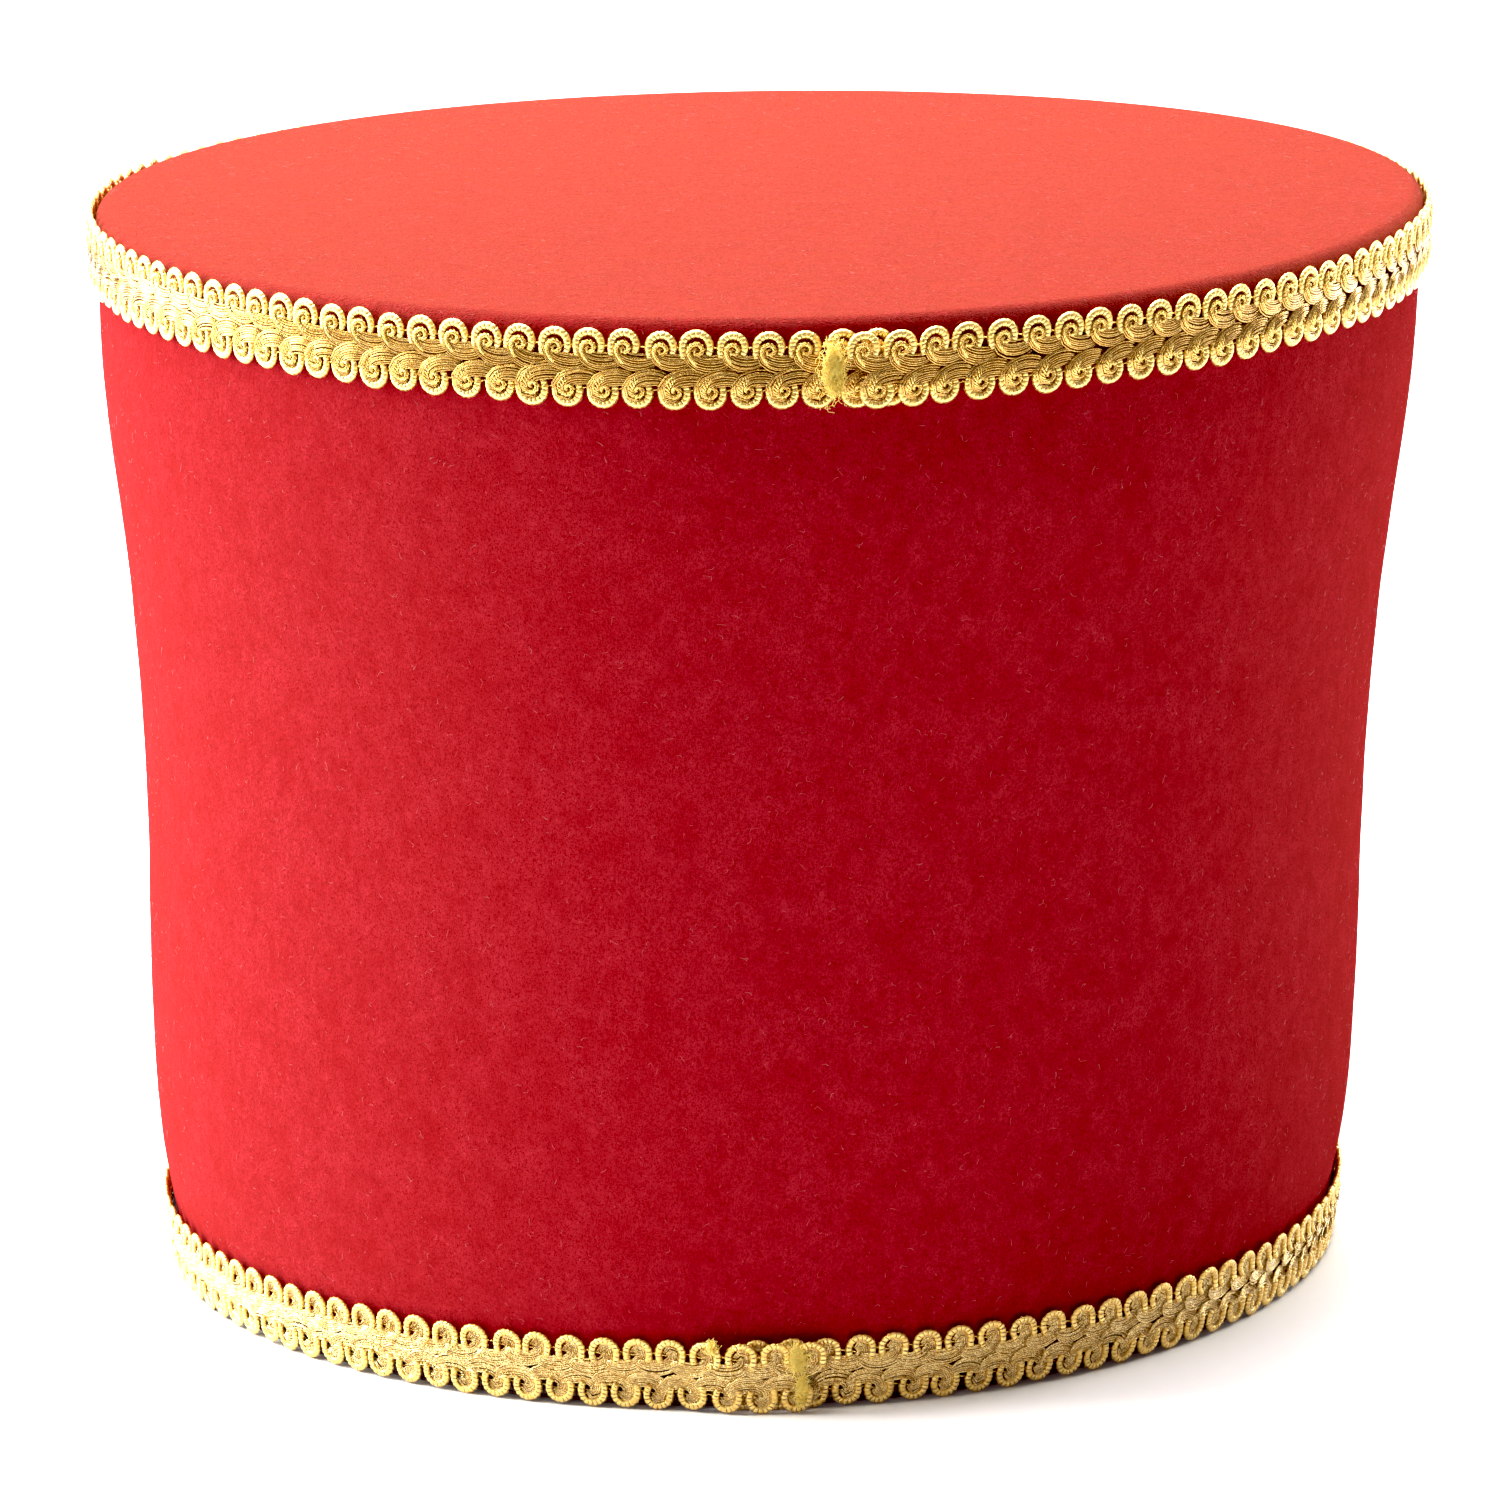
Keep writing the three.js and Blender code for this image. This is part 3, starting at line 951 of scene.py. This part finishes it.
    def add_cords(self, crown, strip, rows, material):
        """A pressed cord along each scroll's path, every second ring drawn in between the wraps."""
        path, _ = evenly_along(ARCH_PATH, self.CORD_RINGS)
        paths = self.set_out(strip, np.concatenate(list(rows.values())), path[:, :3])
        ring = np.arange(self.CORD_RINGS)
        dip = 1 - self.WRAP_DIP[strip.face_out] * (ring % 2)
        points, faces = tubes(paths, np.broadcast_to(path[:, 3] * dip, paths.shape[:2]), self.CORD_SIDES)
        points[..., 2] = self.PRESSED * points[..., 2] + (1 - self.PRESSED) * GIMP_DEPTH / 2
        # A ring starts at the scroll's inside, or at its outside where the scroll is mirrored.
        mirrored = np.repeat([strip.sweep * edge for edge in rows], len(paths) // len(rows))
        side = mirrored[:, None] * np.cos(2 * np.pi * np.arange(self.CORD_SIDES) / self.CORD_SIDES)
        wraps = np.arange(len(paths))[:, None] * self.CORD_RINGS + ring / 2
        uv = np.stack(np.broadcast_arrays(wraps[:, :, None], side[:, None, :]), axis=-1)
        add_piece(f"{strip.node}_scrolls", crown.on_strip(strip, points), faces, material, uv=uv,
                  replaced=strip.node)

    def add_curls(self, crown, strip, rows, material):
        """Strands twisted round each curl's path.

        Each circles the path once in every lay, a share of a turn apart from the next. The lower
        edge's curls open out where they cross the strip.
        """
        path, run = evenly_along(CURL_PATH, self.CURL_RINGS)
        beside, above = square_to(path[:, :3])
        strand = np.arange(self.CURL_STRANDS)[:, None] / self.CURL_STRANDS
        turn = 2 * np.pi * (run / self.CURL_LAY + strand)
        wider, start, end = self.CURL_OPENS
        spread = wider * smoothstep(run, start * run[-1], end * run[-1])
        lifted = (path[:, 3] * np.sin(turn))[..., None] * above
        placed = []
        for edge, matrices in rows.items():
            reach = path[:, 3] * (1 + (spread if edge < 0 else 0))
            around = (reach * np.cos(turn))[..., None] * beside + lifted
            placed.append(self.set_out(strip, matrices, path[:, :3] + around))
        paths = np.concatenate(placed)
        points, faces = tubes(paths, np.full(paths.shape[:2], self.CURL_RADIUS), self.FILAMENT_SIDES)
        add_piece(f"{strip.node}_curls", crown.on_strip(strip, points), faces, material)

    def add_leaves(self, crown, strip, rows, material, rng):
        """Filaments side by side along each bundle's path, the middle ones highest.

        They start closer together in the scrolls of the face's upper edge, which are more open.
        """
        path, run = evenly_along(LEAF_PATH, self.FILAMENT_RINGS)
        way = np.gradient(path[:, :2], axis=0)
        way /= np.linalg.norm(way, axis=1, keepdims=True)
        beside = np.stack((-way[:, 1], way[:, 0], 0 * way[:, 0]), axis=-1)
        share = np.linspace(-1, 1, self.FILAMENTS)[:, None, None]
        crowned = np.array((0, 0, self.LEAF_CROWN)) * (1 - share ** 2)
        wider, start, end = self.LEAF_FILL
        fill = wider * (1 - smoothstep(run, start * run[-1], end * run[-1]))
        placed, radii = [], []
        for edge, matrices in rows.items():
            half = path[:, 3] * (1 + (0 if strip.face_out and edge > 0 else fill))
            laid = path[:, :3] + share * half[:, None] * self.LEAF_SPAN * beside + crowned
            radius = np.maximum(half / self.FILAMENTS * self.FILAMENT_OVERLAP, self.FILAMENT_LEAST)
            placed.append(self.set_out(strip, matrices, laid))
            radii.append(np.broadcast_to(radius, placed[-1].shape[:2]))
        paths = np.concatenate(placed)
        paths = paths + rng.normal(0, self.FILAMENT_STRAY, (len(paths), 1, 3)) * (0, 1, 1)
        points, faces = tubes(paths, np.concatenate(radii), self.FILAMENT_SIDES)
        add_piece(f"{strip.node}_bundles", crown.on_strip(strip, points), faces, material)

    def add_links(self, crown, strip, repeats, pitch, material):
        """A thin thread along each edge that joins the scrolls and waves in and out once a repeat."""
        along = np.arange(repeats * self.LINK_STEPS + 1) / self.LINK_STEPS * pitch
        wave = 2 * np.pi * along / pitch
        across = self.LINK_ACROSS + self.LINK_SWING * np.cos(wave)
        out = self.LINK_OUT + self.LINK_RISE * np.sin(wave)
        paths = np.stack([np.stack((along, edge * across, out), axis=-1) for edge in (1, -1)])
        points, faces = tubes(paths, np.full(paths.shape[:2], self.LINK_RADIUS), self.FILAMENT_SIDES)
        add_piece(f"{strip.node}_links", crown.on_strip(strip, points), faces, material)


class SHAKO_OT_hair(bpy.types.Operator):
    """Scatters loose fibres over the felt"""

    bl_idname = "shako.hair"
    bl_label = "Felt hair"

    ON_WALL = 8200
    ON_TOP = 4000
    LOWEST = 3 * MM  # height of the lowest foot on the wall
    RADIUS = 0.03 * MM
    TAPER = np.array((1.0, 0.9, 0.25))  # share of the radius at each point of a fibre
    SIDES = 3
    STRAY = 0.9  # radians that a fibre strays from the nap
    BEND = 1.3  # and that it turns on its way
    REACH, MOSTLY_SHORT = (0.25, 1.0), 1.5  # share of the longest, and the power that makes most short
    RISE, MOSTLY_LOW = (0.05, 0.42), 1.3  # in millimetres, and the power that keeps most low
    ROOT = 0.05 * MM  # depth of the foot in the felt

    def execute(self, context):
        sizes, colours = context.scene.shako_sizes, context.scene.shako_colours
        crown = Crown(sizes)
        rng = np.random.default_rng(SEED + 1)
        material = loose_hair("wool_fibre_loose", colours)
        mean_width = WALL_SECTIONS[:, 1].mean() * MM
        around = rng.uniform(-np.pi, np.pi, self.ON_WALL) * mean_width
        z = rng.uniform(self.LOWEST, sizes.height - sizes.rim_round, self.ON_WALL)
        wall = self.strands(rng, np.stack((around, z), axis=-1), np.pi / 2, sizes.hair)
        reach = (crown.flat + sizes.rim_round * np.pi / 2) * np.sqrt(rng.uniform(0, 1, self.ON_TOP))
        angle = rng.uniform(-np.pi, np.pi, self.ON_TOP)
        feet = np.stack((reach * np.cos(angle), reach * np.sin(angle)), axis=-1)
        top = self.strands(rng, feet, 0.0, sizes.hair)
        coats = (("wall_hair", wall, crown.on_wall), ("top_hair", top, crown.on_top))
        for name, (points, faces), place in coats:
            add_piece(name, place(points), faces, material)
        return {"FINISHED"}

    def strands(self, rng, feet, nap, longest):
        """Fibres that leave the felt at their feet, bend over and taper: short, thin tubes.

        Each heads about along the nap, turns on the way, and rises as the square root of the way.
        """
        count = len(feet)
        heading = nap + rng.normal(0, self.STRAY, count) + np.pi * rng.integers(0, 2, count)
        bend = rng.normal(0, self.BEND, count)
        reach = longest * rng.uniform(*self.REACH, count) ** self.MOSTLY_SHORT
        rise = rng.uniform(*self.RISE, count) ** self.MOSTLY_LOW * MM
        share = np.linspace(0, 1, len(self.TAPER))
        turned_to = heading[:, None] + bend[:, None] * share
        way = np.stack((np.cos(turned_to), np.sin(turned_to)), axis=-1)
        flat = feet[:, None] + reach[:, None, None] * share[:, None] * way
        out = -self.ROOT + rise[:, None] * np.sqrt(share)
        paths = np.concatenate((flat, out[..., None]), axis=-1)
        radii = np.broadcast_to(self.RADIUS * self.TAPER, paths.shape[:2])
        return tubes(paths, radii, self.SIDES)


class SHAKO_OT_frays(bpy.types.Operator):
    """Lets the core yarn of the gimp fray out at the cut ends of both strips"""

    bl_idname = "shako.frays"
    bl_label = "Frayed ends"

    # Strip, repeats from the end that lies on top, across and spread in millimetres, and number.
    TUFTS = (
        ("UPPER", -0.35, 0.2, (1.5, 3.6), 640),
        ("LOWER", 0.9, 3.4, (1.2, 1.8), 460),
        ("LOWER", 0.75, -2.2, (0.8, 2.8), 360),
        ("LOWER", 3.3, 5.2, (0.7, 0.8), 140),
    )
    POINTS = 7
    SIDES = 3
    RADIUS = 0.045 * MM
    SCATTER = 0.5  # of the spread
    STRAY = 0.6  # radians that a yarn strays from the way across the strip
    REACH = (0.6, 2.0)  # length, swing and height off the hat, in millimetres
    SWING = (0.1, 0.35)
    HEIGHT = (0.9, 2.0)
    WAVE = (4, 9)  # radians of the swing's cosine on the way along
    PHASE = (0, 6)
    SAG = 0.6 * MM

    def execute(self, context):
        sizes, colours = context.scene.shako_sizes, context.scene.shako_colours
        crown = Crown(sizes)
        rng = np.random.default_rng(SEED + 2)
        material = core_yarn("rayon_core_yarn_frayed", colours)
        points, faces, used = [], [], 0
        for name, repeat, across, spread, count in self.TUFTS:
            strip = STRIPS[name]
            along = (repeat if strip.first_on_top else crown.repeats(strip) - repeat) * sizes.pitch
            made, parts = self.tuft(rng, (along, across * MM), np.array(spread) * MM, count)
            placed = crown.on_strip(strip, made).reshape(-1, 3)
            points.append(placed)
            faces.extend(part + used for part in parts)
            used += len(placed)
        add_piece("frayed_core", np.concatenate(points), faces, material)
        return {"FINISHED"}

    def tuft(self, rng, middle, spread, count):
        """Wavy yarns round a middle: each a straight run up the strip plus a cosine to each side."""
        start = np.array(middle) + rng.normal(0, self.SCATTER, (count, 2)) * spread
        heading = np.pi / 2 + rng.normal(0, self.STRAY, count)
        reach = rng.uniform(*self.REACH, count) * MM
        share = np.linspace(-0.5, 0.5, self.POINTS)
        widest = rng.uniform(*self.SWING, (count, 1)) * MM
        wave = rng.uniform(*self.WAVE, (count, 1))
        phase = rng.uniform(*self.PHASE, (count, 1))
        swing = widest * np.cos(wave * share + phase)
        run = reach[:, None] * share
        along = start[:, :1] + run * np.cos(heading)[:, None] - swing * np.sin(heading)[:, None]
        across = start[:, 1:] + run * np.sin(heading)[:, None] + swing * np.cos(heading)[:, None]
        out = rng.uniform(*self.HEIGHT, (count, 1)) * MM - self.SAG * share ** 2
        paths = np.stack((along, across, np.broadcast_to(out, along.shape)), axis=-1)
        return tubes(paths, np.full(paths.shape[:2], self.RADIUS), self.SIDES)


class SHAKO_PT_panel(bpy.types.Panel):
    """Lists what dresses the shako"""

    bl_idname = "SHAKO_PT_panel"
    bl_label = "Shako"
    bl_space_type = "VIEW_3D"
    bl_region_type = "UI"
    bl_category = "Shako"

    def draw(self, context):
        layout = self.layout
        for group in (context.scene.shako_sizes, context.scene.shako_colours):
            box = layout.box()
            for name in group.__annotations__:
                box.prop(group, name)
        for operator in OPERATORS:
            if operator is SHAKO_OT_gimp:
                layout.operator_enum(operator.bl_idname, "strip")
            else:
                layout.operator(operator.bl_idname)


OPERATORS = (SHAKO_OT_stage, SHAKO_OT_crown, SHAKO_OT_tape, SHAKO_OT_gimp, SHAKO_OT_hair, SHAKO_OT_frays)
CLASSES = (ShakoSizes, ShakoColours, *OPERATORS, SHAKO_PT_panel)


def register():
    for cls in CLASSES:
        bpy.utils.register_class(cls)
    bpy.types.Scene.shako_sizes = bpy.props.PointerProperty(type=ShakoSizes)
    bpy.types.Scene.shako_colours = bpy.props.PointerProperty(type=ShakoColours)


def unregister():
    del bpy.types.Scene.shako_colours
    del bpy.types.Scene.shako_sizes
    for cls in reversed(CLASSES):
        bpy.utils.unregister_class(cls)


def main():
    """Dresses the hat piece by piece."""
    register()
    bpy.ops.shako.stage()
    bpy.ops.shako.crown()
    bpy.ops.shako.tape()
    bpy.ops.shako.gimp(strip="UPPER")
    bpy.ops.shako.gimp(strip="LOWER")
    bpy.ops.shako.hair()
    bpy.ops.shako.frays()


if __name__ == "__main__":
    main()
